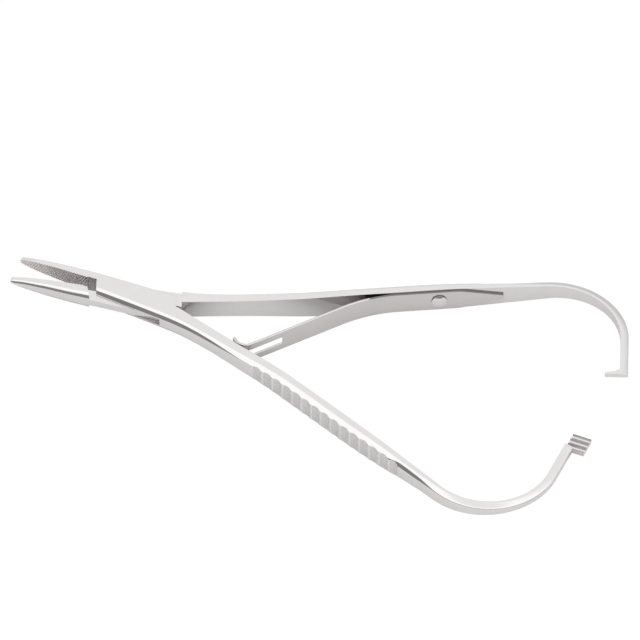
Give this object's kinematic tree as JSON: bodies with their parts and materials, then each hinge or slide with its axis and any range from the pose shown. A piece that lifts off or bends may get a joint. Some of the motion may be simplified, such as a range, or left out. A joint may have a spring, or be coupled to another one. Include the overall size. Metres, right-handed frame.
{
  "type": "mathieu pliers",
  "caption": "Spring-opened orthodontic needle-holder pliers with a box joint, slim hatched jaws, bowed scalloped handles and a small ratchet catch where the handle ends meet.",
  "frame": {"origin": "on the pivot axis, at the underside of the joint", "axes": "+Z along the pivot axis, away from the underside the pliers lie on; +X from the pivot to the handle ends, midway between the open handles"},
  "size_m": [0.1432, 0.0741, 0.0064],
  "materials": {
    "polished_steel": "polished stainless steel",
    "spring_steel": "finely brushed stainless steel"
  },
  "bodies": {
    "box_side": {"box_arm": "polished_steel", "pivot_pin": "polished_steel", "spring_guide_peg": "spring_steel"},
    "tongue_side": {"tongue_arm": "polished_steel", "leaf_spring": "spring_steel", "spring_rivet": "spring_steel"}
  },
  "joints": [
    {"name": "joint", "type": "hinge", "parent": "box_side", "child": "tongue_side", "pos_m": [0, 0, 0.0025], "axis": [0, 0, -1], "range_deg": [0, 10.8], "stiffness_Nm_per_rad": 0.6, "springref_deg": -11.46, "deforming": ["leaf_spring"]}
  ]
}
